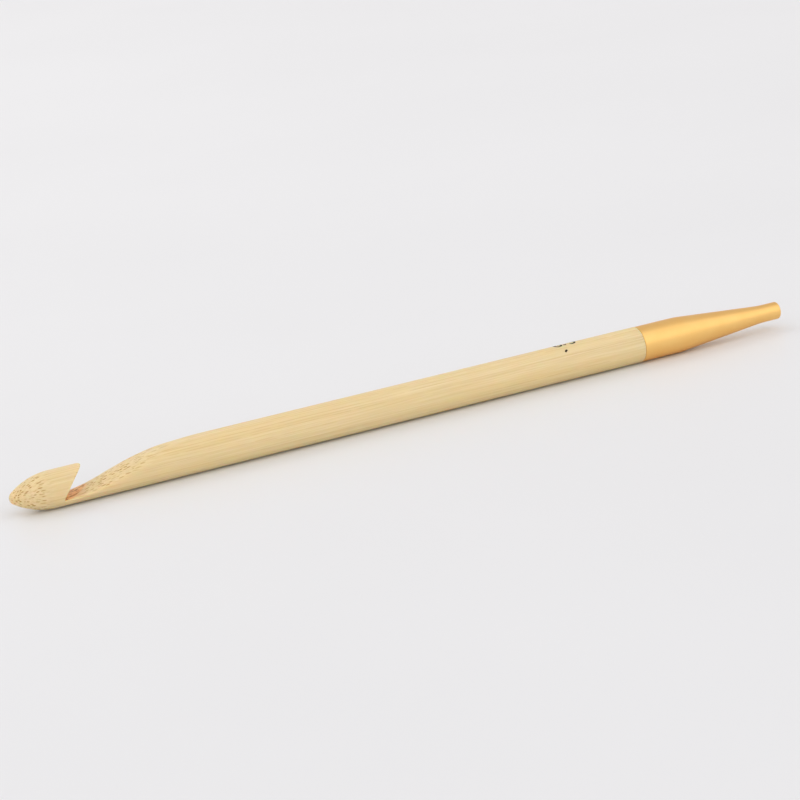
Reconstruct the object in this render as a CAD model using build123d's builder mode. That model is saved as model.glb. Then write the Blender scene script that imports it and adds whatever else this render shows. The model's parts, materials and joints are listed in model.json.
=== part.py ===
from build123d import *
import math
import os

# Screw-on crochet hook: a bamboo hook shaft glued into a turned metal ferrule.
# Units are mm. The origin is at the middle of the hook's length, on the surface it lies on.
# +X runs from the nose to the ferrule's threaded end. +Z is up, the way the mouth faces.
# Lengths along the hook are counted from the nose, and heights from the hook's axis.

# Whole hook
overall_length = 150.0
shaft_radius = 3.25
ferrule_length = 29.7
seam = overall_length - ferrule_length

# Nose: a long arc tangent to the shaft, closed by a small round tip
nose_length = 7.7
nose_arc_radius = 12.5

# Mouth: an arc for the undercut face, given by its top, middle and bottom points
undercut_top = (15.05, 4.0)
undercut_middle = (10.12, 0.75)
undercut_bottom = (8.05, -3.5)
lip_round = 0.25

# Throat floor sections: length along the hook, height of the crown, radius of the crown
throat_sections = [
    (7.0, -1.60, 14.0),
    (8.5, -1.55, 14.0),
    (11.0, -1.42, 12.0),
    (13.0, -0.95, 8.0),
    (15.5, -0.20, 6.0),
    (19.0, 0.92, 5.5),
    (23.0, 2.05, 5.0),
    (27.0, 2.82, 4.5),
    (31.5, 3.30, 4.0),
    (34.5, 3.75, 3.8),
]
throat_half_width = 3.4
throat_edge_round = 0.3
throat_runout = 31.0

# Shaft end and the tenon that goes into the ferrule
shaft_end_round = 0.2
tenon_radius = 2.35
tenon_length = 9.7
tenon_chamfer = 0.4

# Glue between the tenon and the ferrule's socket
glue_thickness = 0.1
glue_pad_thickness = 0.3

# Ferrule: straight barrel, taper and slim neck, with its corners rounded
ferrule_radius = 3.22
barrel_length = 8.4
taper_length = 17.5
neck_radius = 1.6
ferrule_edge_round = 0.12
shoulder_round = 18.0
neck_blend_round = 22.0
neck_end_round = 0.3

# Socket for the screw of a cable, an M2 x 0.4 thread drawn at its tapping size
thread_bore_radius = 0.8
thread_bore_depth = 8.0
thread_mouth_radius = 1.05
drill_point_angle = 118.0

# Cutters run past the wood by this much
overrun = 4.0

# Turn of the shank about its axis, which keeps its closing edge off the lowest line
closing_edge_turn = 4.3

middle_x = overall_length / 2
hook_axis = Axis((0, 0, shaft_radius), (1, 0, 0))


def spot(along, height):
    """Point on the XZ plane, from a length along the hook and a height above its axis."""
    return (along - middle_x, shaft_radius + height)


def under(along, radius):
    """Point on the lower half of a turned outline, from a length along and a radius."""
    return spot(along, -radius)


def arc_middle(centre, radius, start, end):
    """Middle point of the arc about centre from start to end, each a length and a radius."""
    start_angle = math.atan2(start[1] - centre[1], start[0] - centre[0])
    end_angle = math.atan2(end[1] - centre[1], end[0] - centre[0])
    angle = (start_angle + end_angle) / 2
    return (centre[0] + radius * math.cos(angle), centre[1] + radius * math.sin(angle))


# The round tip touches the long arc from inside, with its centre on the axis.
nose_top = (nose_length, shaft_radius)
nose_centre = (nose_length, shaft_radius - nose_arc_radius)
tip_radius = (nose_arc_radius**2 - nose_length**2 - nose_centre[1] ** 2) / (
    2 * (nose_arc_radius - nose_length)
)
tip_angle = math.atan2(-nose_centre[1], tip_radius - nose_length)
tip_middle_angle = (math.pi + tip_angle) / 2
tip_joint = (tip_radius * (1 + math.cos(tip_angle)), tip_radius * math.sin(tip_angle))
tip_middle = (
    tip_radius * (1 + math.cos(tip_middle_angle)),
    tip_radius * math.sin(tip_middle_angle),
)
nose_middle = arc_middle(nose_centre, nose_arc_radius, tip_joint, nose_top)

# Turned blank: nose, straight shaft and tenon
with BuildPart() as blank:
    with BuildSketch(Plane.XZ):
        with BuildLine():
            ThreePointArc(spot(0.0, 0.0), under(*tip_middle), under(*tip_joint))
            ThreePointArc(under(*tip_joint), under(*nose_middle), under(*nose_top))
            Polyline(
                under(*nose_top),
                under(seam - shaft_end_round, shaft_radius),
                under(seam, shaft_radius - shaft_end_round),
                under(seam, tenon_radius),
                under(seam + tenon_length - tenon_chamfer, tenon_radius),
                under(seam + tenon_length, tenon_radius - tenon_chamfer),
                spot(seam + tenon_length, 0.0),
                spot(0.0, 0.0),
            )
        make_face()
    revolve(axis=hook_axis)
turned_blank = blank.part.rotate(hook_axis, closing_edge_turn)

# Head: the blank ahead of the undercut face, with its lip rounded
with BuildPart() as head:
    add(blank.part)
    with BuildSketch(Plane.XZ):
        with BuildLine():
            ThreePointArc(
                spot(*undercut_top),
                spot(*undercut_middle),
                spot(*undercut_bottom),
            )
            Polyline(
                spot(*undercut_bottom),
                spot(-overrun, undercut_bottom[1]),
                spot(-overrun, undercut_top[1]),
                spot(*undercut_top),
            )
        make_face()
    extrude(amount=shaft_radius + overrun, both=True, mode=Mode.INTERSECT)
    undercut_face = head.faces().sort_by(Axis.X)[-1]
    fillet(undercut_face.edges(), radius=lip_round)

# Shank: the straight part of the blank behind the nose, less the throat
with BuildPart() as shank:
    add(turned_blank)
    with Locations((-middle_x, 0, shaft_radius)):
        Box(2 * nose_length + 0.1, 3 * shaft_radius, 3 * shaft_radius, mode=Mode.SUBTRACT)
    with BuildPart(mode=Mode.SUBTRACT):
        for along, height, crown in throat_sections:
            edge_height = height - crown + math.sqrt(crown**2 - throat_half_width**2)
            top = shaft_radius + overrun
            with BuildSketch(Plane.YZ.offset(along - middle_x)):
                with BuildLine():
                    ThreePointArc(
                        (-throat_half_width, shaft_radius + edge_height),
                        (0, shaft_radius + height),
                        (throat_half_width, shaft_radius + edge_height),
                    )
                    Polyline(
                        (throat_half_width, shaft_radius + edge_height),
                        (throat_half_width, shaft_radius + top),
                        (-throat_half_width, shaft_radius + top),
                        (-throat_half_width, shaft_radius + edge_height),
                    )
                make_face()
        loft()
    throat_edges = [
        edge
        for edge in shank.edges()
        if edge.bounding_box().max.X > throat_runout - middle_x
        and edge.bounding_box().min.X < undercut_middle[0] - middle_x
        and edge.bounding_box().max.Z > shaft_radius
    ]
    fillet(throat_edges, radius=throat_edge_round)

# Bamboo hook shaft: head and shank in one piece of wood
with BuildPart() as hook_shaft:
    add(head.part)
    add(shank.part)
hook_shaft.part.label = "hook_shaft"
export_step(hook_shaft.part, "parts/hook_shaft.step")

# Glue: a thin sleeve round the tenon with a pad over its end
with BuildPart() as glue_film:
    with BuildSketch(Plane.XZ):
        with BuildLine():
            Polyline(
                under(seam, tenon_radius),
                under(seam, tenon_radius + glue_thickness),
                under(seam + tenon_length + glue_pad_thickness, tenon_radius + glue_thickness),
                spot(seam + tenon_length + glue_pad_thickness, 0.0),
                spot(seam + tenon_length, 0.0),
                under(seam + tenon_length, tenon_radius - tenon_chamfer),
                under(seam + tenon_length - tenon_chamfer, tenon_radius),
                under(seam, tenon_radius),
            )
        make_face()
    revolve(axis=hook_axis)
glue_film.part.label = "glue_film"
export_step(glue_film.part, "parts/glue_film.step")

# Ferrule: turned outside, with the glue socket in one end and the threaded socket in the other
socket_radius = tenon_radius + glue_thickness
socket_depth = tenon_length + glue_pad_thickness
thread_bottom = overall_length - thread_bore_depth
drill_point = thread_bore_radius / math.tan(math.radians(drill_point_angle / 2))
thread_mouth_depth = thread_mouth_radius - thread_bore_radius
barrel_start = under(seam, ferrule_radius)
shoulder = under(seam + barrel_length, ferrule_radius)
neck_start = under(seam + barrel_length + taper_length, neck_radius)
neck_end = under(overall_length, neck_radius)

with BuildPart() as ferrule:
    with BuildSketch(Plane.XZ) as ferrule_outline:
        with BuildLine():
            Polyline(
                under(seam, socket_radius),
                barrel_start,
                shoulder,
                neck_start,
                neck_end,
                under(overall_length, thread_mouth_radius),
                under(overall_length - thread_mouth_depth, thread_bore_radius),
                under(thread_bottom, thread_bore_radius),
                spot(thread_bottom - drill_point, 0.0),
                spot(seam + socket_depth, 0.0),
                under(seam + socket_depth, socket_radius),
                under(seam, socket_radius),
            )
        make_face()
        for corner, corner_round in [
            (barrel_start, ferrule_edge_round),
            (shoulder, shoulder_round),
            (neck_start, neck_blend_round),
            (neck_end, neck_end_round),
        ]:
            fillet(ferrule_outline.vertices().sort_by_distance((*corner, 0))[0], corner_round)
    revolve(axis=hook_axis)
ferrule.part.label = "ferrule"
export_step(ferrule.part, "parts/ferrule.step")
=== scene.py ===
import json
import math

import bmesh
import bpy
import numpy as np
from bpy.props import FloatProperty, FloatVectorProperty, PointerProperty
from mathutils import Matrix, Vector


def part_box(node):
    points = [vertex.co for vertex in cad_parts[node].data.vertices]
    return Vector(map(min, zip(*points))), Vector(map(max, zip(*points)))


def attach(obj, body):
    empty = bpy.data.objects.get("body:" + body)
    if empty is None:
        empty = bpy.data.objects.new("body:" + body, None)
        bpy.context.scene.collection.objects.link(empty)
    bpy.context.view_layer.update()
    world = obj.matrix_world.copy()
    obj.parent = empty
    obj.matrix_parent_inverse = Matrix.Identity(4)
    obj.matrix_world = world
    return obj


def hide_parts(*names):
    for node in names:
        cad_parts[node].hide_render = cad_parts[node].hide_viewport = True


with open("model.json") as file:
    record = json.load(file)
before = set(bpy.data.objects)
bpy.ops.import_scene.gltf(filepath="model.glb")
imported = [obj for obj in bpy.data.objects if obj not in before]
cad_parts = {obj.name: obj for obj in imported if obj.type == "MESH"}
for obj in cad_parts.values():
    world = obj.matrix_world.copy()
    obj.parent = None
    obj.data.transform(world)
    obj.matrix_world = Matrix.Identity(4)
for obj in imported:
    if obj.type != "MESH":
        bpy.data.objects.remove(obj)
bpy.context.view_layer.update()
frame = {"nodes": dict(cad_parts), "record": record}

bl_info = {
    "name": "Screw-on Crochet Hook",
    "version": (1, 0, 0),
    "blender": (4, 5, 0),
    "location": "3D View > Sidebar > Crochet Hook",
    "description": "Makes a bamboo crochet hook with a gold-coloured ferrule, and its studio",
    "category": "Add Mesh",
}

MOUNTS = {mount["name"]: mount for mount in frame["record"]["mounts"]}
SHAFT_LOW, SHAFT_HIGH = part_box("hook_shaft")
FERRULE_LOW, FERRULE_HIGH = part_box("ferrule")

# Lengths below are in mm. Along is counted from the tip of the nose, up and side from the
# hook's axis, and place() turns them into metres in the frame of the solids.
MM = 0.001
SHAFT_RADIUS = MOUNTS["shaft"]["dims"]["r_mm"]
THREAD_CREST_RADIUS = MOUNTS["cable_socket"]["dims"]["r_mm"]
LENGTH = (FERRULE_HIGH[0] - SHAFT_LOW[0]) / MM
SEAM = (FERRULE_LOW[0] - SHAFT_LOW[0]) / MM

# Nose: a long arc tangent to the shaft, closed by a small round tip
NOSE_LENGTH = 7.7
NOSE_ARC = 12.5
NOSE_ARC_HEIGHT = SHAFT_RADIUS - NOSE_ARC
TIP_RADIUS = (NOSE_ARC**2 - NOSE_LENGTH**2 - NOSE_ARC_HEIGHT**2) / (2 * (NOSE_ARC - NOSE_LENGTH))
TIP_END = TIP_RADIUS * (1 + math.cos(math.atan2(-NOSE_ARC_HEIGHT, TIP_RADIUS - NOSE_LENGTH)))

# Mouth: the arc of the undercut face, as (along, up), and the crowned floor of the throat
UNDERCUT_POINTS = ((15.05, 4.0), (10.12, 0.75), (8.05, -3.5))
FLOOR_ALONG = np.array([7.0, 8.5, 11.0, 13.0, 15.5, 19.0, 23.0, 27.0, 31.5, 34.5])
FLOOR_HEIGHT = np.array([-1.60, -1.55, -1.42, -0.95, -0.20, 0.92, 2.05, 2.82, 3.30, 3.75])
FLOOR_CROWN = np.array([14.0, 14.0, 12.0, 8.0, 6.0, 5.5, 5.0, 4.5, 4.0, 3.8])
THROAT_END = 34.5

# Shaft end and tenon
SHAFT_END_ROUND = 0.2
TENON_RADIUS = 2.35
TENON_LENGTH = 9.7
TENON_CHAMFER = 0.4

# Ferrule, and the thread in its slim end
SOCKET_RADIUS = 2.45
SOCKET_DEPTH = 10.0
FERRULE_RADIUS = 3.22
BARREL_LENGTH = 8.4
TAPER_LENGTH = 17.5
NECK_RADIUS = 1.6
THREAD_DEPTH = 8.0
THREAD_MOUTH_RADIUS = 1.05
THREAD_PITCH = 0.4
THREAD_GROOVE = 0.2
DRILL_HALF_ANGLE = math.radians(59.0)

# Middle of the camera's view, in metres in the frame of the solids
CAMERA_TARGET = Vector((-0.00255, 0.000043, 0.003788))
TABLE_HALF_WIDTH = 3.0


# ---------------------------------------------------------------- curves and grids


def place(along, side, up):
    """Points in metres, in the frame of the solids, from lengths in mm on the hook's axis."""
    along, side, up = np.broadcast_arrays(along, side, up)
    middle_height = (FERRULE_LOW[2] + FERRULE_HIGH[2]) / 2
    return np.stack([SHAFT_LOW[0] + along * MM, side * MM, middle_height + up * MM], axis=-1)


def ease(value):
    """Zero below 0, one above 1, and 3v^2 - 2v^3 between them."""
    value = np.clip(value, 0.0, 1.0)
    return value * value * (3.0 - 2.0 * value)


def blend(first, second, share):
    """The first value, moved towards the second by the share."""
    return first + (second - first) * share


def softer_of(first, second, width):
    """The smaller of two values, with the corner between them rounded over the width."""
    share = np.clip(0.5 + 0.5 * (second - first) / width, 0.0, 1.0)
    return second * (1 - share) + first * share - width * share * (1 - share)


def smooth_curve(stations, values, at):
    """Cubic curve through the values, whose slope at each station comes from its neighbours."""
    slopes = np.gradient(values, stations)
    left = np.clip(np.searchsorted(stations, at) - 1, 0, len(stations) - 2)
    width = stations[left + 1] - stations[left]
    t = np.clip((at - stations[left]) / width, 0.0, 1.0)
    return (
        (2 * t**3 - 3 * t**2 + 1) * values[left]
        + (t**3 - 2 * t**2 + t) * width * slopes[left]
        + (3 * t**2 - 2 * t**3) * values[left + 1]
        + (t**3 - t**2) * width * slopes[left + 1]
    )


def bend(start, corner, end, rows):
    """Rows of a parabola that leaves start towards the corner and arrives at end from it."""
    t = np.linspace(0.0, 1.0, rows)[:, None, None]
    return (1 - t) ** 2 * start + 2 * t * (1 - t) * corner + t**2 * end


def exit_distance(centre_up, angle, circle_up, circle_radius):
    """Distance from a point on the middle line, along an angle, to a circle round it."""
    offset = centre_up - circle_up
    return -offset * np.sin(angle) + np.sqrt(circle_radius**2 - (offset * np.cos(angle)) ** 2)


def turned_rings(along, radius, angles):
    """Rings of a turned outline: at each length along, the radius carried round the axis."""
    return np.stack(np.broadcast_arrays(
        along, radius * np.cos(angles), radius * np.sin(angles)
    ), axis=-1)


def closed_mesh(name, first_pole, rings, last_pole):
    """Mesh of rings joined into a tube, with each end closed by a fan round its pole. The
    poles and the rings are points in metres."""
    rows, columns = rings.shape[:2]
    points = np.concatenate([first_pole[None], rings.reshape(-1, 3), last_pole[None]])
    index = 1 + np.arange(rows * columns).reshape(rows, columns)
    after = np.roll(index, -1, axis=1)
    quads = np.stack([index[:-1], after[:-1], after[1:], index[1:]], axis=-1).reshape(-1, 4)
    first_fan = np.stack([np.zeros(columns, int), after[0], index[0]], axis=-1)
    last_fan = np.stack([np.full(columns, rows * columns + 1), index[-1], after[-1]], axis=-1)
    mesh = bpy.data.meshes.new(name)
    mesh.from_pydata(points, [], first_fan.tolist() + quads.tolist() + last_fan.tolist())
    mesh.polygons.foreach_set("use_smooth", np.ones(len(mesh.polygons), bool))
    mesh.update()
    mesh.validate()
    return mesh


def put_in_scene(name, mesh):
    """Object of the mesh at the origin, in the scene's own collection."""
    piece = bpy.data.objects.new(name, mesh)
    bpy.context.scene.collection.objects.link(piece)
    return piece


# ---------------------------------------------------------------- the bamboo hook shaft

COLUMNS = 224
ROUND_ANGLES = -math.pi / 2 + np.arange(COLUMNS) * 2 * math.pi / COLUMNS

# Evenly shaped nose rings end here, and the rings after them lean towards the lip
NOSE_RINGS_END = 5.5
# Below the mouth, where there is no undercut face, its rings are spread over this length
FOLD_WIDTH = 0.8
# Most of the undercut face that the round of its lip or of its root can take
MOST_ROUND_SHARE = 0.4


def blank_radius(along):
    """Radius of the turned blank: the sphere of the tip, then the nose's arc, then the shaft."""
    tip = np.sqrt(np.maximum(TIP_RADIUS**2 - (along - TIP_RADIUS) ** 2, 0.0))
    before_shaft = np.minimum(along, NOSE_LENGTH) - NOSE_LENGTH
    arc = NOSE_ARC_HEIGHT + np.sqrt(NOSE_ARC**2 - before_shaft**2)
    return np.where(along < TIP_END, tip, arc)


def circle_through(first, second, third):
    """Centre and radius of the circle through three points."""
    matrix = np.array([np.subtract(second, first), np.subtract(third, first)])
    side = 0.5 * np.array([
        np.dot(second, second) - np.dot(first, first),
        np.dot(third, third) - np.dot(first, first),
    ])
    centre = np.linalg.solve(matrix, side)
    return centre, float(np.hypot(*(centre - first)))


UNDERCUT_CENTRE, UNDERCUT_RADIUS = circle_through(*UNDERCUT_POINTS)


def undercut_along(up):
    """Where the undercut face lies along the hook at a height: the near side of its circle."""
    reach = np.maximum(UNDERCUT_RADIUS**2 - (up - UNDERCUT_CENTRE[1]) ** 2, 0.0)
    return UNDERCUT_CENTRE[0] - np.sqrt(reach)


# Root of the mouth, where the undercut face meets the floor of the throat. The centre that
# the cross-sections are drawn from rises from ROOT_CENTRE_UP to the axis over CENTRE_RISE.
ROOT_ALONG = float(undercut_along(-1.55))
ROOT_CENTRE_UP = -2.4
CENTRE_RISE = (9.5, 30.0)


def floor_circle(along):
    """Height of the middle and radius of the crown circle of the throat's floor."""
    height = smooth_curve(FLOOR_ALONG, FLOOR_HEIGHT, along)
    crown = smooth_curve(FLOOR_ALONG, FLOOR_CROWN, along)
    return height - crown, crown


def section_reach(along, centre_up, angle, edge_round):
    """Distance from the section's centre to its outline, the nearer of shaft and throat floor."""
    circle = exit_distance(centre_up, angle, 0.0, SHAFT_RADIUS)
    crown_up, crown = floor_circle(along)
    floor = exit_distance(centre_up, angle, crown_up, crown)
    return softer_of(circle, floor, edge_round)


def root_angles():
    """Column directions at the root of the mouth, spaced by the distance along the outline
    there plus a share of the angle, which keeps columns on the short stretches."""
    samples, sharp_edge, angle_share = 8001, 0.01, 0.25
    angle = -math.pi / 2 + np.linspace(0.0, 2 * math.pi, samples)
    reach = section_reach(np.full_like(angle, ROOT_ALONG), ROOT_CENTRE_UP, angle, sharp_edge)
    side, up = reach * np.cos(angle), reach * np.sin(angle)
    step = np.hypot(np.diff(side), np.diff(up)) + angle_share * SHAFT_RADIUS * np.diff(angle)
    travelled = np.concatenate([[0.0], np.cumsum(step)])
    even = travelled[-1] * np.arange(COLUMNS) / COLUMNS
    return np.interp(even, travelled, angle)


def throat_section(along, root_angle, edge_round):
    """Points of the shank's cross-section. The rays leave a centre that rises from the middle
    of the thin neck to the axis, and their angles turn from the root's to evenly spaced ones."""
    rise = ease((along - CENTRE_RISE[0]) / (CENTRE_RISE[1] - CENTRE_RISE[0]))
    centre_up = blend(ROOT_CENTRE_UP, 0.0, rise)
    angle = blend(root_angle, ROUND_ANGLES, rise)
    reach = section_reach(along, centre_up, angle, edge_round)
    return reach * np.cos(angle), centre_up + reach * np.sin(angle)


def hook_shaft_rings(lip_round, root_round, edge_round):
    """Rings of the hook shaft from nose to tenon. They tilt until they lie on the lip of the
    mouth, run down the undercut face to its root, and go on along the throat's floor. Below
    the mouth the same rings stay close together on the outside of the wood."""
    root_angle = root_angles()
    root_reach = exit_distance(ROOT_CENTRE_UP, root_angle, 0.0, SHAFT_RADIUS)
    lip_side = root_reach * np.cos(root_angle)
    lip_up = ROOT_CENTRE_UP + root_reach * np.sin(root_angle)
    lip_angle = np.unwrap(np.arctan2(lip_up, lip_side))
    lip_angle += 2 * math.pi * round((ROUND_ANGLES[0] - lip_angle[0]) / (2 * math.pi))

    crown_up, crown = floor_circle(np.array(ROOT_ALONG))
    corner_up = (SHAFT_RADIUS**2 - crown**2 + crown_up**2) / (2 * crown_up)
    below = ease((corner_up - lip_up) / FOLD_WIDTH)

    def split_along(up, share):
        return undercut_along(np.maximum(up, corner_up)) + (share - 0.5) * FOLD_WIDTH * below

    lip_along = split_along(lip_up, 0.0)
    root_side, root_up = throat_section(np.full(COLUMNS, ROOT_ALONG), root_angle, edge_round)
    root_along = split_along(root_up, 1.0)

    share = np.linspace(0.0, 1.0, 35)[1:, None]
    nose_along = NOSE_RINGS_END * share**1.8
    nose = turned_rings(nose_along, blank_radius(nose_along), ROUND_ANGLES)

    before_lip = lip_along - lip_round
    share = np.linspace(0.0, 1.0, 49)[1:-1, None]
    head_along = blend(NOSE_RINGS_END, before_lip, share)
    head_angle = blend(ROUND_ANGLES, lip_angle, ease(share))
    head = turned_rings(head_along, blank_radius(head_along), head_angle)

    lip = np.stack([lip_along, lip_side, lip_up], axis=-1)
    root = np.stack([root_along, root_side, root_up], axis=-1)
    face_length = np.linalg.norm(root - lip, axis=-1) + 1e-6

    def on_face(share):
        side = blend(lip_side, root_side, share)
        up = blend(lip_up, root_up, share)
        return np.stack([split_along(up, share), side, up], axis=-1)

    lip_share = np.minimum(lip_round / face_length, MOST_ROUND_SHARE)
    root_share = 1.0 - np.minimum(root_round / face_length, MOST_ROUND_SHARE)
    start = np.stack([before_lip, lip_side, lip_up], axis=-1)
    lip_bend = bend(start, lip, on_face(lip_share), 9)
    face = on_face(blend(lip_share, root_share, np.linspace(0.0, 1.0, 42)[1:-1, None]))
    floor_start = root_along + root_round
    side, up = throat_section(floor_start, root_angle, edge_round)
    root_bend = bend(on_face(root_share), root, np.stack([floor_start, side, up], axis=-1), 8)

    share = np.linspace(0.0, 1.0, 120)[1:, None] ** 1.25
    floor_along = blend(floor_start, THROAT_END, share)
    side, up = throat_section(floor_along, root_angle, edge_round)
    floor = np.stack([floor_along, side, up], axis=-1)

    straight_along = np.linspace(THROAT_END, SEAM - SHAFT_END_ROUND, 60)[1:]
    quarter = np.linspace(0.0, math.pi / 2, 6)[1:]
    along = np.concatenate([
        straight_along,
        SEAM - SHAFT_END_ROUND + SHAFT_END_ROUND * np.sin(quarter),
        [SEAM, SEAM + TENON_LENGTH - TENON_CHAMFER, SEAM + TENON_LENGTH],
    ])
    radius = np.concatenate([
        np.full_like(straight_along, SHAFT_RADIUS),
        SHAFT_RADIUS - SHAFT_END_ROUND + SHAFT_END_ROUND * np.cos(quarter),
        [TENON_RADIUS, TENON_RADIUS, TENON_RADIUS - TENON_CHAMFER],
    ])
    straight = turned_rings(along[:, None], radius[:, None], ROUND_ANGLES)
    return np.concatenate([nose, head, lip_bend, face, root_bend, floor, straight])


def painted_shade_share(points):
    """How much painted shade the wood gets, for points in metres: the lip's shadow on the
    throat's floor, warmed by light bounced between the wood. It is most in a small leaf shape on
    the floor of the throat, from the root of the mouth to a slanting end that lies further along
    on the far side. It fades out before the outside of the shaft."""
    along = (points[:, 0] - SHAFT_LOW[0]) / MM
    side = points[:, 1] / MM
    up = points[:, 2] / MM - SHAFT_RADIUS
    leaf_end = ROOT_ALONG + 5.0 + 1.35 * np.minimum(side, 0.3)
    on_leaf = ease(leaf_end - along)
    under_skin = ease((SHAFT_RADIUS - 0.1 - np.hypot(side, up)) / 0.25)
    above_underside = up > -2.2
    behind_root = ease((along - ROOT_ALONG + 0.45) / 0.35)
    return 0.9 * on_leaf * under_skin * above_underside * behind_root


def add_share(mesh, name, values):
    """Keep a number between 0 and 1 at each vertex, for the material to read."""
    layer = mesh.attributes.new(name, "FLOAT", "POINT")
    layer.data.foreach_set("value", np.clip(values, 0.0, 1.0).astype(np.float32))


def vertex_values(mesh, collection, key):
    """Points or normals of the mesh's vertices, as one row of three for each."""
    values = np.empty(len(mesh.vertices) * 3, np.float32)
    getattr(mesh, collection).foreach_get(key, values)
    return values.reshape(-1, 3)


# ---------------------------------------------------------------- the ferrule


def rounded_outline(start, corners, end, steps):
    """Outline from start to end through the corners, each a point and the radius of the arc
    that rounds it. Each arc starts and ends where it touches the two straight sides."""
    points = np.array([start, *(point for point, _ in corners), end], float)
    pieces = [points[:1]]
    for before, point, after, (_, arc) in zip(points, points[1:], points[2:], corners):
        into = (point - before) / np.linalg.norm(point - before)
        out = (after - point) / np.linalg.norm(after - point)
        turn = math.atan2(into[0] * out[1] - into[1] * out[0], float(into @ out))
        arc_start = point - into * arc * math.tan(abs(turn) / 2)
        angle = np.linspace(0.0, turn, steps)[:, None]
        normal = np.array([-into[1], into[0]]) * math.copysign(1.0, turn)
        bulge = np.sin(np.abs(angle)) * into + (1 - np.cos(angle)) * normal
        pieces.append(arc_start + arc * bulge)
    pieces.append(points[-1:])
    return np.concatenate(pieces)


def thread_rings(start, end, crest, depth, angles):
    """Rings of a right-hand inner thread. The radius is the crest's plus a rounded groove,
    whose place along the hook moves by one pitch for each turn round the axis. The groove
    fades out over one pitch at each end."""
    rings_per_pitch = 9
    rings = int(round(abs(end - start) / (THREAD_PITCH / rings_per_pitch)))
    along = np.linspace(start, end, rings)[:, None]
    turn = (along / THREAD_PITCH - angles / (2 * math.pi)) % 1.0
    groove = ease(1.6 - 3.6 * np.abs(turn - 0.5))
    fade = ease(abs(along - start) / THREAD_PITCH) * ease(abs(along - end) / THREAD_PITCH)
    return turned_rings(along, crest + depth * groove * fade, angles)


def ferrule_rings():
    """Rings of the ferrule, from the bottom of its glue socket, over the outside, to the
    drill point under its thread."""
    columns = 160
    angles = -math.pi / 2 + np.arange(columns) * 2 * math.pi / columns
    socket_bottom = SEAM + SOCKET_DEPTH
    shoulder = SEAM + BARREL_LENGTH
    neck = shoulder + TAPER_LENGTH
    mouth_end = LENGTH - (THREAD_MOUTH_RADIUS - THREAD_CREST_RADIUS)
    outline = rounded_outline(
        (socket_bottom, SOCKET_RADIUS - 0.1),
        (
            ((socket_bottom, SOCKET_RADIUS), 0.05),
            ((SEAM, SOCKET_RADIUS), 0.05),
            ((SEAM, FERRULE_RADIUS), 0.12),
            ((shoulder, FERRULE_RADIUS), 18.0),
            ((neck, NECK_RADIUS), 22.0),
            ((LENGTH, NECK_RADIUS), 0.3),
            ((LENGTH, THREAD_MOUTH_RADIUS), 0.03),
        ),
        (mouth_end, THREAD_CREST_RADIUS),
        steps=14,
    )
    outside = turned_rings(outline[:, :1], outline[:, 1:], angles)
    thread = thread_rings(
        mouth_end - 0.02, LENGTH - THREAD_DEPTH, THREAD_CREST_RADIUS, THREAD_GROOVE, angles
    )
    return np.concatenate([outside, thread])


# ---------------------------------------------------------------- the size mark

# Strokes of the numerals, as points of (along, up) in shares of a numeral's height
SIX_STROKE = ((0.42, 0.98), (0.18, 0.80), (0.02, 0.45), (0.06, 0.12), (0.28, 0.00),
              (0.50, 0.10), (0.56, 0.30), (0.46, 0.50), (0.26, 0.54), (0.06, 0.40))
FIVE_STROKE = ((0.52, 1.00), (0.14, 1.00), (0.08, 0.58), (0.30, 0.64), (0.52, 0.50),
               (0.56, 0.28), (0.46, 0.08), (0.24, 0.00), (0.04, 0.10))
POINT_STROKE = ((0.00, 0.02), (0.02, 0.06), (0.04, 0.10))
SPECK_STROKE = ((0.00, 0.04), (0.03, 0.10), (0.10, 0.13))
NUMERAL_HEIGHT = 2.3
STROKE_WIDTH = 0.34
STROKE_RINGS = 48
INK_HEIGHT = 0.006

# The strokes in the order they are drawn. Each has its place past the first numeral, its turn
# round the shaft in radians, its size and its width.
MARK_STROKES = (
    (SIX_STROKE, 0.0, 0.0, NUMERAL_HEIGHT, STROKE_WIDTH),
    (POINT_STROKE, 1.80, 0.0, NUMERAL_HEIGHT * 2.2, 0.50),
    (FIVE_STROKE, 2.75, 0.0, NUMERAL_HEIGHT, STROKE_WIDTH),
    (SPECK_STROKE, 0.95, -0.65, NUMERAL_HEIGHT * 2.0, 0.36),
)


def stroke_path(points):
    """Smooth path through a stroke's points: cubic curves over the distance travelled."""
    points = np.array(points, float)
    travelled = np.concatenate([[0.0], np.cumsum(np.hypot(*np.diff(points, axis=0).T))])
    at = np.linspace(0.0, travelled[-1], STROKE_RINGS)
    return np.stack([smooth_curve(travelled, points[:, axis], at) for axis in (0, 1)], axis=-1)


def ribbon_on_shaft(points, start_along, start_turn, size, width):
    """Rings of a ribbon of ink: a flat four-sided profile carried along the stroke, then
    wrapped round the shaft, where a length up the stroke becomes an angle of length over
    radius. The profile narrows over its last two rings at each end."""
    path = stroke_path(points) * size
    heading = np.gradient(path, axis=0)
    heading /= np.linalg.norm(heading, axis=1)[:, None]
    across = np.stack([-heading[:, 1], heading[:, 0]], axis=-1)
    ring = np.arange(STROKE_RINGS)
    from_end = np.clip(np.minimum(ring, ring[::-1]) / 2.0, 0.0, 1.0)
    half = width / 2 * np.sqrt(1.0 - 0.75 * (1.0 - from_end) ** 2)
    offset = np.array([-1.0, 1.0, 1.0, -1.0])[None, :, None] * half[:, None, None]
    flat = path[:, None] + offset * across[:, None]
    reach = SHAFT_RADIUS + INK_HEIGHT * np.array([-1.0, -1.0, 1.0, 1.0])[None, :]
    turn = start_turn + flat[..., 1] / SHAFT_RADIUS
    return place(start_along + flat[..., 0], -reach * np.cos(turn), reach * np.sin(turn))


def joined_mesh(name, parts):
    """One mesh of several, without the meshes that it was made from."""
    joined = bmesh.new()
    for part in parts:
        joined.from_mesh(part)
        bpy.data.meshes.remove(part)
    bmesh.ops.recalc_face_normals(joined, faces=joined.faces)
    mesh = bpy.data.meshes.new(name)
    joined.to_mesh(mesh)
    joined.free()
    return mesh


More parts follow.
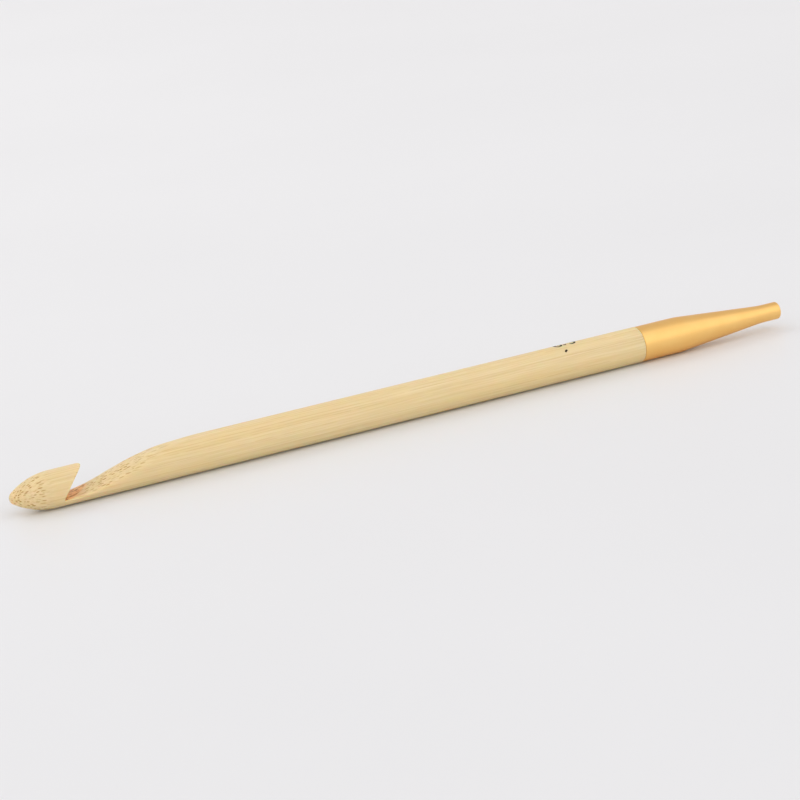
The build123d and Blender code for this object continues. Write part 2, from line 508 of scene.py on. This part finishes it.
# ---------------------------------------------------------------- materials


class Nodes:
    """A short way to add nodes to a tree and join them."""

    def __init__(self, tree):
        self.tree = tree

    def feed(self, node, **inputs):
        """Give inputs their numbers, colours or other nodes' sockets. A key is an input's name
        with _ for each space, or _ and the input's number."""
        for key, value in inputs.items():
            number = key[1:]
            socket = node.inputs[int(number) if number.isdigit() else key.replace("_", " ")]
            if isinstance(value, bpy.types.NodeSocket):
                self.tree.links.new(value, socket)
            else:
                socket.default_value = value

    def add(self, kind, settings=None, **inputs):
        """Node of a kind, with its settings, and its inputs as feed takes them."""
        node = self.tree.nodes.new(kind)
        for key, value in (settings or {}).items():
            setattr(node, key, value)
        self.feed(node, **inputs)
        return node

    def math(self, operation, first, second):
        node = self.add("ShaderNodeMath", {"operation": operation}, _0=first, _1=second)
        return node.outputs[0]

    def scaled(self, vector, scale):
        node = self.add("ShaderNodeVectorMath", {"operation": "MULTIPLY"}, _0=vector, _1=scale)
        return node.outputs[0]

    def in_mm(self, vector):
        return self.scaled(vector, (1.0 / MM, 1.0 / MM, 1.0 / MM))

    def noise(self, vector, scale, detail=2.0, roughness=0.5):
        node = self.add("ShaderNodeTexNoise", None, Vector=vector, Scale=scale, Detail=detail,
                        Roughness=roughness)
        return node.outputs["Fac"]

    def range(self, value, low, high, to_low=0.0, to_high=1.0):
        """Smooth step from to_low to to_high, while the value goes from low to high."""
        node = self.add("ShaderNodeMapRange", {"interpolation_type": "SMOOTHSTEP"},
                        Value=value, _1=low, _2=high, _3=to_low, _4=to_high)
        return node.outputs[0]

    def mix(self, share, first, second):
        """Colour between two colours."""
        node = self.add("ShaderNodeMix", {"data_type": "RGBA"}, Factor=share, _6=first, _7=second)
        return node.outputs[2]

    def separate(self, vector):
        return self.add("ShaderNodeSeparateXYZ", None, _0=vector).outputs


def opaque(colour):
    """A colour with its alpha of one."""
    return (*colour, 1.0)


def new_group(name, inputs, outputs):
    """Empty shader node group with float or vector inputs, each with its default."""
    group = bpy.data.node_groups.new(name, "ShaderNodeTree")
    for label, kind, default in inputs:
        socket = group.interface.new_socket(label, in_out="INPUT", socket_type=kind)
        if default is not None:
            socket.default_value = default
    for label, kind in outputs:
        group.interface.new_socket(label, in_out="OUTPUT", socket_type=kind)
    return group, group.nodes.new("NodeGroupInput").outputs, group.nodes.new("NodeGroupOutput")


def fibre_group():
    """Group of straight bamboo fibre running along X. Streaks are fine long noise. Bundles are
    the dark ends of the vascular bundles: round spots across the fibre, drawn out along it,
    so a cut at an angle shows them as flecks and dashes and a cut across shows dots."""
    group, given, result = new_group(
        "bamboo_fibre",
        [("Vector", "NodeSocketVector", None), ("Spacing", "NodeSocketFloat", 0.6),
         ("Spot Size", "NodeSocketFloat", 0.2)],
        [("Streaks", "NodeSocketFloat"), ("Bundles", "NodeSocketFloat"),
         ("Tone", "NodeSocketFloat")],
    )
    nodes = Nodes(group)
    in_mm = nodes.in_mm(given["Vector"])
    fine = nodes.noise(nodes.scaled(in_mm, (0.09, 5.5, 5.5)), 1.0, 3.0, 0.6)
    broad = nodes.noise(nodes.scaled(in_mm, (0.03, 1.5, 1.5)), 1.0, 2.0, 0.5)
    tone = nodes.noise(nodes.scaled(in_mm, (0.02, 0.35, 0.35)), 1.0, 2.0, 0.5)
    streaks = nodes.math("ADD", nodes.math("MULTIPLY", fine, 0.65),
                         nodes.math("MULTIPLY", broad, 0.35))
    across = nodes.scaled(in_mm, (0.018, 1.0, 1.0))
    wobble = nodes.add("ShaderNodeTexNoise", None, Vector=across, Scale=0.9, Detail=1.0)
    bent = nodes.add("ShaderNodeVectorMath", {"operation": "MULTIPLY_ADD"},
                     _0=wobble.outputs["Color"], _1=(0.0, 0.5, 0.5), _2=across).outputs[0]
    sides = nodes.separate(bent)
    section = nodes.add("ShaderNodeCombineXYZ", None,
                        _0=nodes.math("DIVIDE", sides[1], given["Spacing"]),
                        _1=nodes.math("DIVIDE", sides[2], given["Spacing"])).outputs[0]
    cells = nodes.add("ShaderNodeTexVoronoi", {"feature": "F1", "voronoi_dimensions": "2D"},
                      Vector=section, Scale=1.0, Randomness=0.9)
    edge = nodes.math("SUBTRACT", given["Spot Size"], cells.outputs["Distance"])
    spot = nodes.range(edge, -0.03, 0.12)
    strength = nodes.range(nodes.separate(cells.outputs["Color"])[0], 0.1, 0.8, 0.2, 1.0)
    broken = nodes.range(nodes.noise(nodes.scaled(in_mm, (0.35, 2.2, 2.2)), 1.0, 2.0, 0.5),
                         0.30, 0.50)
    bundles = nodes.math("MULTIPLY", nodes.math("MULTIPLY", spot, strength), broken)
    nodes.feed(result, Streaks=streaks, Bundles=bundles, Tone=tone)
    return group


def new_material(name, diffuse):
    """New material, the helper for its nodes, its shader and the object's own coordinates."""
    material = bpy.data.materials.new(name)
    material.use_nodes = True
    material.diffuse_color = opaque(diffuse)
    nodes = Nodes(material.node_tree)
    shader = material.node_tree.nodes["Principled BSDF"]
    position = nodes.add("ShaderNodeTexCoord").outputs["Object"]
    return material, nodes, shader, position


def bamboo_material(settings, fibre):
    """Sanded bamboo: pale straw with long fibre streaks, golden-brown bundle ends where the
    wood is cut at an angle, and painted shade at the root of the mouth: the lip's shadow on the
    throat's floor in warm orange, with darker specks in it."""
    material, nodes, shader, position = new_material("sanded_bamboo", settings.straw_colour)
    grain = nodes.add("ShaderNodeGroup", {"node_tree": fibre}, Vector=position,
                      Spacing=settings.bundle_spacing / MM, Spot_Size=0.31)
    streaks, bundles, tone = (grain.outputs[key] for key in ("Streaks", "Bundles", "Tone"))
    colour = nodes.mix(nodes.range(streaks, 0.35, 0.68),
                       opaque(settings.straw_colour), opaque(settings.pale_colour))
    colour = nodes.mix(nodes.range(tone, 0.42, 0.75, 0.0, 0.55),
                       colour, opaque(settings.honey_colour))
    cut = nodes.add("ShaderNodeAttribute", {"attribute_name": "cut_across"}).outputs["Fac"]
    # This attribute holds painted shade: the share of the lip's shadow on the throat's floor
    shade_share = nodes.add("ShaderNodeAttribute", {"attribute_name": "painted_leaf_shade"}).outputs["Fac"]
    spot_share = nodes.math("MULTIPLY", bundles, nodes.range(cut, 0.02, 0.3, 0.22, 1.0))
    colour = nodes.mix(spot_share, colour, opaque(settings.bundle_colour))
    # Painted shade: warm orange where the lip's shadow falls on the throat's floor
    colour = nodes.mix(shade_share, colour, opaque(settings.leaf_shade_colour))
    # Darker specks mottled into that painted shade
    shade_speck_share = nodes.noise(nodes.scaled(position, (900.0, 1800.0, 1800.0)), 1.0, 3.0, 0.6)
    shade_speck_share = nodes.math("MULTIPLY", nodes.range(shade_speck_share, 0.47, 0.58), nodes.range(shade_share, 0.2, 0.8))
    colour = nodes.mix(nodes.math("MULTIPLY", shade_speck_share, 0.75),
                       colour, opaque(settings.shade_speck_colour))
    rough = nodes.range(streaks, 0.3, 0.7, 0.56, 0.44)
    relief = nodes.math("SUBTRACT", streaks, nodes.math("MULTIPLY", bundles, 0.5))
    bump = nodes.add("ShaderNodeBump", None, Strength=0.35, Distance=0.04 * MM, Height=relief)
    nodes.feed(shader, Base_Color=colour, Roughness=rough, Normal=bump.outputs[0],
               Specular_IOR_Level=0.4, Subsurface_Weight=0.7,
               Subsurface_Radius=(1.0, 0.45, 0.2), Subsurface_Scale=1.6 * MM)
    return material


def gold_material(settings):
    """Satin gold-coloured plating over fine turning lines that run round the ferrule."""
    material, nodes, shader, position = new_material("satin_gold", settings.gold_colour)
    in_mm = nodes.in_mm(position)
    lines = nodes.noise(nodes.scaled(in_mm, (14.0, 0.25, 0.25)), 1.0, 3.0, 0.6)
    cloud = nodes.noise(nodes.scaled(in_mm, (0.35, 0.5, 0.5)), 1.0, 3.0, 0.5)
    frost = nodes.noise(in_mm, 22.0, 2.0, 0.5)
    colour = nodes.mix(nodes.range(cloud, 0.35, 0.7, 0.0, 0.6),
                       opaque(settings.gold_colour), opaque(settings.deep_gold_colour))
    rough = nodes.math("ADD", nodes.range(lines, 0.3, 0.7, 0.33, 0.41),
                       nodes.math("MULTIPLY", frost, 0.04))
    height = nodes.math("ADD", nodes.math("MULTIPLY", lines, 0.7),
                        nodes.math("MULTIPLY", frost, 0.3))
    bump = nodes.add("ShaderNodeBump", None, Strength=0.12, Distance=0.02 * MM, Height=height)
    nodes.feed(shader, Base_Color=colour, Metallic=1.0, Roughness=rough,
               Normal=bump.outputs[0])
    return material


def ink_material(settings):
    """Thin brown-black printing ink, a little worn where the fibre stands up."""
    material, nodes, shader, position = new_material("size_ink", settings.ink_colour)
    in_mm = nodes.in_mm(position)
    wear = nodes.noise(nodes.scaled(in_mm, (1.5, 7.0, 7.0)), 1.0, 3.0, 0.6)
    colour = nodes.mix(nodes.range(wear, 0.5, 0.8),
                       opaque(settings.ink_colour), opaque(settings.worn_ink_colour))
    nodes.feed(shader, Base_Color=colour, Roughness=nodes.range(wear, 0.3, 0.7, 0.6, 0.8),
               Specular_IOR_Level=0.1)
    return material


def glue_material():
    """Cured epoxy, cloudy amber with fine bubbles."""
    amber = (0.62, 0.50, 0.30)
    cloudy = (0.72, 0.64, 0.46)
    material, nodes, shader, position = new_material("cured_epoxy", amber)
    in_mm = nodes.in_mm(position)
    cloud = nodes.noise(in_mm, 1.2, 3.0, 0.6)
    bubbles = nodes.add("ShaderNodeTexVoronoi", None, Vector=in_mm, Scale=3.0)
    colour = nodes.mix(nodes.range(cloud, 0.35, 0.65), opaque(amber), opaque(cloudy))
    bump = nodes.add("ShaderNodeBump", None, Strength=0.3, Distance=0.03 * MM,
                     Height=nodes.range(bubbles.outputs["Distance"], 0.0, 0.25))
    nodes.feed(shader, Base_Color=colour, Roughness=nodes.range(cloud, 0.3, 0.7, 0.22, 0.4),
               Normal=bump.outputs[0])
    return material


def floor_material(settings):
    """White tabletop board with a soft sheen and a very faint mottle."""
    material, nodes, shader, position = new_material("white_board", settings.floor_colour)
    mottle = nodes.noise(position, 9.0, 3.0, 0.5)
    shade = [channel * 0.985 for channel in settings.floor_colour]
    colour = nodes.mix(nodes.range(mottle, 0.3, 0.7),
                       opaque(settings.floor_colour), opaque(shade))
    nodes.feed(shader, Base_Color=colour, Roughness=0.42, Specular_IOR_Level=0.5)
    return material


# ---------------------------------------------------------------- sizes and colours


def length_setting(name, description, default_mm):
    return FloatProperty(name=name, description=description, default=default_mm * MM,
                         min=0.0, unit="LENGTH", subtype="DISTANCE", precision=5)


def colour_setting(name, description, default):
    return FloatVectorProperty(name=name, description=description, default=default, size=3,
                               min=0.0, max=1.0, subtype="COLOR")


class HookShaftSettings(bpy.types.PropertyGroup):
    """Sizes and colours of the bamboo hook shaft."""

    lip_round: length_setting("Lip round", "How far the lip of the mouth is rounded", 0.5)
    root_round: length_setting("Root round", "How far the root of the mouth is rounded", 0.30)
    edge_round: length_setting("Throat edge", "Width of the softened edge of the throat", 0.55)
    bundle_spacing: length_setting("Bundle spacing", "Distance between vascular bundles", 0.36)
    straw_colour: colour_setting("Straw", "Main colour of the bamboo", (0.725, 0.566, 0.296))
    pale_colour: colour_setting("Pale", "Colour of the lightest fibres", (0.81, 0.652, 0.378))
    honey_colour: colour_setting("Honey", "Colour of the warmer bands", (0.745, 0.56, 0.255))
    bundle_colour: colour_setting("Bundle", "Colour of the bundle ends", (0.46, 0.25, 0.055))
    # The next two colours are painted shade: the lip's shadow on the throat's floor, and darker
    # specks in it
    leaf_shade_colour: colour_setting("Leaf_shade", "Colour of the root of the mouth", (0.88, 0.53, 0.22))
    shade_speck_colour: colour_setting("Shade_specks", "Colour of its darkest spots", (0.36, 0.15, 0.05))


class SizeMarkSettings(bpy.types.PropertyGroup):
    """Place and colours of the size printed on the shaft."""

    along: length_setting("Along", "From the nose to the first numeral", 103.7)
    turn: FloatProperty(name="Turn", description="Angle of the numerals' feet round the shaft",
                        default=math.radians(83.0), subtype="ANGLE")
    ink_colour: colour_setting("Ink", "Colour of the ink", (0.035, 0.018, 0.010))
    worn_ink_colour: colour_setting("Worn ink", "Colour of worn ink", (0.12, 0.08, 0.05))


class FerruleSettings(bpy.types.PropertyGroup):
    """Colours of the ferrule."""

    gold_colour: colour_setting("Gold", "Main colour of the plating", (0.935, 0.585, 0.20))
    deep_gold_colour: colour_setting("Deep gold", "Its warmer areas", (0.92, 0.55, 0.175))


class StudioSettings(bpy.types.PropertyGroup):
    """Floor colour and camera."""

    floor_colour: colour_setting("Floor", "Colour of the tabletop", (0.80, 0.802, 0.808))
    camera_azimuth: FloatProperty(name="Azimuth", description="Camera's turn round the hook",
                                  default=math.radians(-24.272), subtype="ANGLE")
    camera_elevation: FloatProperty(name="Elevation", description="Camera's height as an angle",
                                    default=math.radians(15.556), subtype="ANGLE")
    camera_roll: FloatProperty(name="Roll", description="Camera's tilt about its own view",
                               default=math.radians(-6.95), subtype="ANGLE")
    camera_distance: length_setting("Distance", "From the camera to the hook", 555.9)
    focal_length: FloatProperty(name="Focal length", description="Lens, on a 36 mm sensor",
                                default=143.7, unit="CAMERA")


# ---------------------------------------------------------------- operators


class HOOK_OT_bamboo_shaft(bpy.types.Operator):
    """Make the bamboo hook shaft, with its nose, mouth and tenon"""

    bl_idname = "hook.bamboo_shaft"
    bl_label = "Bamboo Hook Shaft"

    def execute(self, context):
        settings = context.scene.hook_shaft
        rings = hook_shaft_rings(
            settings.lip_round / MM, settings.root_round / MM, settings.edge_round / MM
        )
        mesh = closed_mesh(
            "bamboo_shaft", place(0.0, 0.0, 0.0), place(*np.moveaxis(rings, -1, 0)),
            place(SEAM + TENON_LENGTH, 0.0, 0.0)
        )
        normals = vertex_values(mesh, "vertex_normals", "vector")
        add_share(mesh, "cut_across", np.abs(normals[:, 0]))
        # Share of painted shade at each vertex: the lip's shadow on the throat's floor
        add_share(mesh, "painted_leaf_shade", painted_shade_share(vertex_values(mesh, "vertices", "co")))
        shaft = put_in_scene("bamboo_shaft", mesh)
        shaft.data.materials.append(bamboo_material(settings, fibre_group()))
        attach(shaft, "root")
        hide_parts("hook_shaft")
        return {"FINISHED"}


class HOOK_OT_size_mark(bpy.types.Operator):
    """Print the hook's size, in mm, on its shaft"""

    bl_idname = "hook.size_mark"
    bl_label = "Size Mark"

    def execute(self, context):
        settings = context.scene.hook_size_mark
        parts = []
        for points, along, turn, size, width in MARK_STROKES:
            rings = ribbon_on_shaft(
                points, settings.along / MM + along, settings.turn + turn, size, width
            )
            parts.append(closed_mesh(
                "stroke", rings[0].mean(axis=0), rings, rings[-1].mean(axis=0)
            ))
        mark = put_in_scene("size_mark", joined_mesh("size_mark", parts))
        mark.data.materials.append(ink_material(settings))
        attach(mark, "root")
        return {"FINISHED"}


class HOOK_OT_ferrule(bpy.types.Operator):
    """Make the gold-coloured ferrule, with its thread"""

    bl_idname = "hook.ferrule"
    bl_label = "Ferrule"

    def execute(self, context):
        settings = context.scene.hook_ferrule
        rings = ferrule_rings()
        drill_end = LENGTH - THREAD_DEPTH - THREAD_CREST_RADIUS / math.tan(DRILL_HALF_ANGLE)
        mesh = closed_mesh(
            "gold_ferrule", place(SEAM + SOCKET_DEPTH, 0.0, 0.0),
            place(*np.moveaxis(rings, -1, 0)), place(drill_end, 0.0, 0.0)
        )
        ferrule = put_in_scene("gold_ferrule", mesh)
        ferrule.data.materials.append(gold_material(settings))
        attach(ferrule, "root")
        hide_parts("ferrule")
        return {"FINISHED"}


class HOOK_OT_glue(bpy.types.Operator):
    """Give the glue between shaft and ferrule its finish"""

    bl_idname = "hook.glue"
    bl_label = "Glue"

    def execute(self, context):
        glue = frame["nodes"]["glue_film"]
        material = glue_material()
        if glue.material_slots:
            glue.material_slots[0].material = material
        else:
            glue.data.materials.append(material)
        return {"FINISHED"}


class HOOK_OT_studio(bpy.types.Operator):
    """Make the floor, the light and the camera"""

    bl_idname = "hook.studio"
    bl_label = "Studio"

    def execute(self, context):
        settings = context.scene.hook_studio
        half = TABLE_HALF_WIDTH
        mesh = bpy.data.meshes.new("tabletop")
        mesh.from_pydata(
            [(-half, -half, 0.0), (half, -half, 0.0), (half, half, 0.0), (-half, half, 0.0)],
            [], [(0, 1, 2, 3)],
        )
        table = put_in_scene("tabletop", mesh)
        table.data.materials.append(floor_material(settings))
        light_studio(context.scene)
        aim_camera(context.scene, settings)
        return {"FINISHED"}


def light_studio(scene):
    """Pale room, painted by direction: darker behind the hook than in front of it, where it
    is brightest a little above the horizon. One soft panel hangs above and behind."""
    world = bpy.data.worlds.new("pale_room")
    world.use_nodes = True
    scene.world = world
    nodes = Nodes(world.node_tree)
    background = world.node_tree.nodes["Background"]
    direction = nodes.add("ShaderNodeTexCoord").outputs["Generated"]
    parts = nodes.separate(direction)
    behind = nodes.math("ADD", parts[1], nodes.math("MULTIPLY", parts[2], 0.03))
    horizon = opaque((0.77, 0.76, 0.76))
    low = opaque((1.25, 1.255, 1.275))
    high = opaque((1.06, 1.08, 1.12))
    back = opaque((0.71, 0.68, 0.67))
    front = nodes.mix(nodes.range(parts[2], 0.0, 0.2), horizon, low)
    front = nodes.mix(nodes.range(parts[2], 0.35, 0.95), front, high)
    room = nodes.mix(nodes.range(behind, -0.02, 0.02), front, back)
    nodes.feed(background, Color=room, Strength=1.05)
    lamp = bpy.data.lights.new("overhead_panel", "AREA")
    lamp.shape = "RECTANGLE"
    lamp.size = 0.9
    lamp.size_y = 0.5
    lamp.energy = 1.9
    panel = bpy.data.objects.new("overhead_panel", lamp)
    panel.location = (-0.38, 0.62, 0.72)
    panel.rotation_euler = Vector(panel.location).to_track_quat("Z", "Y").to_euler()
    panel.visible_camera = False
    panel.visible_glossy = False
    scene.collection.objects.link(panel)


def aim_camera(scene, settings):
    """Camera at its distance from the target, from its azimuth, elevation and roll."""
    data = bpy.data.cameras.new("camera")
    data.sensor_width = 36.0
    data.lens = settings.focal_length
    data.clip_start = 0.01
    data.clip_end = 20.0
    camera = bpy.data.objects.new("camera", data)
    turn, rise = settings.camera_azimuth, settings.camera_elevation
    back = Vector((math.sin(turn) * math.cos(rise), -math.cos(turn) * math.cos(rise),
                   math.sin(rise)))
    right = Vector((math.cos(turn), math.sin(turn), 0.0))
    level = Matrix((right, back.cross(right), back)).transposed()
    rolled = level @ Matrix.Rotation(settings.camera_roll, 3, "Z")
    camera.matrix_world = Matrix.Translation(
        CAMERA_TARGET + back * settings.camera_distance
    ) @ rolled.to_4x4()
    scene.collection.objects.link(camera)
    scene.camera = camera


class HOOK_PT_panel(bpy.types.Panel):
    """Sidebar panel with the hook's settings and its makers"""

    bl_idname = "HOOK_PT_panel"
    bl_label = "Crochet Hook"
    bl_space_type = "VIEW_3D"
    bl_region_type = "UI"
    bl_category = "Crochet Hook"

    def draw(self, context):
        layout = self.layout
        for group, operators in PANEL_ROWS:
            box = layout.box()
            settings = getattr(context.scene, group)
            for key in type(settings).__annotations__:
                box.prop(settings, key)
            for operator in operators:
                box.operator(operator)


PANEL_ROWS = (
    ("hook_shaft", ("hook.bamboo_shaft", "hook.glue")),
    ("hook_size_mark", ("hook.size_mark",)),
    ("hook_ferrule", ("hook.ferrule",)),
    ("hook_studio", ("hook.studio",)),
)
CLASSES = (
    HookShaftSettings,
    SizeMarkSettings,
    FerruleSettings,
    StudioSettings,
    HOOK_OT_bamboo_shaft,
    HOOK_OT_size_mark,
    HOOK_OT_ferrule,
    HOOK_OT_glue,
    HOOK_OT_studio,
    HOOK_PT_panel,
)


def register():
    for item in CLASSES:
        bpy.utils.register_class(item)
    bpy.types.Scene.hook_shaft = PointerProperty(type=HookShaftSettings)
    bpy.types.Scene.hook_size_mark = PointerProperty(type=SizeMarkSettings)
    bpy.types.Scene.hook_ferrule = PointerProperty(type=FerruleSettings)
    bpy.types.Scene.hook_studio = PointerProperty(type=StudioSettings)


def unregister():
    del bpy.types.Scene.hook_studio
    del bpy.types.Scene.hook_ferrule
    del bpy.types.Scene.hook_size_mark
    del bpy.types.Scene.hook_shaft
    for item in reversed(CLASSES):
        bpy.utils.unregister_class(item)


def main():
    register()
    bpy.context.scene.view_settings.view_transform = "Standard"
    bpy.ops.hook.bamboo_shaft()
    bpy.ops.hook.size_mark()
    bpy.ops.hook.ferrule()
    bpy.ops.hook.glue()
    bpy.ops.hook.studio()


if __name__ == "__main__":
    main()
